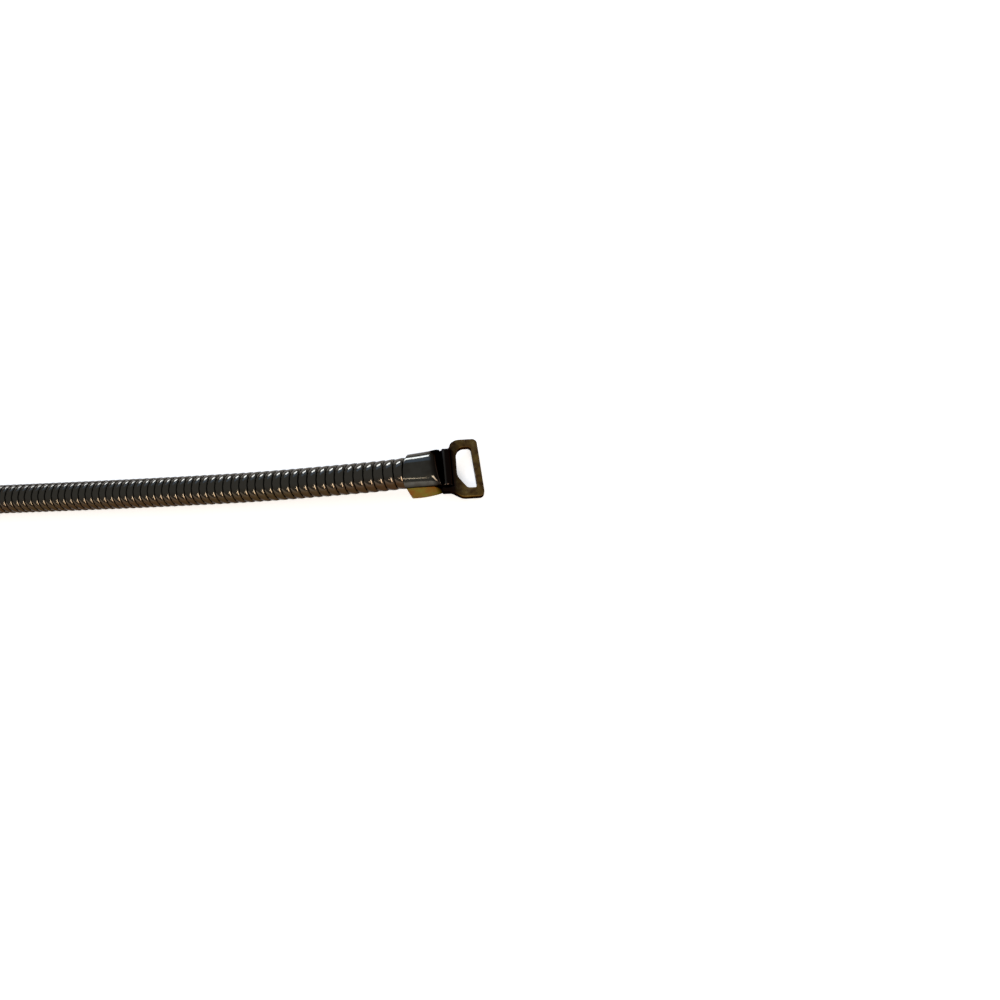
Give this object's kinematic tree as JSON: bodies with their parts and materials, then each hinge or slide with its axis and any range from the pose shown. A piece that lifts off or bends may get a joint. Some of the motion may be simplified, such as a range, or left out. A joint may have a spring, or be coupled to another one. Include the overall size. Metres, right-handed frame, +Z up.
{
  "type": "elastic coil belt",
  "caption": "Slim stretch belt of wound metal coil, lying straight, with a swinging eye at one end and a flat hook at the other.",
  "frame": {"origin": "middle of the lying belt's bounding box, on the surface that it rests on", "axes": "+X along the belt towards the eye, +Y across the belt, +Z up from the surface that it lies on"},
  "size_m": [0.6454, 0.011, 0.0057],
  "materials": {
    "coil_strip": "black nickel plated steel strip, polished",
    "cap_sheet": "black nickel plated sheet, polished, brass showing low on the sides",
    "eye_metal": "darkened antique brass, worn bright along its edges"
  },
  "bodies": {
    "belt": {"coil_band": "coil_strip", "eye_cap": "cap_sheet", "hook_clasp": "cap_sheet"},
    "eye": {"eye_loop": "eye_metal"}
  },
  "joints": [
    {"name": "eye_swing", "type": "hinge", "parent": "belt", "child": "eye", "pos_m": [0.31696, -0.0007, 0.0018], "axis": [0.1063, -0.9943, 0], "range_deg": [-60, 100]}
  ]
}
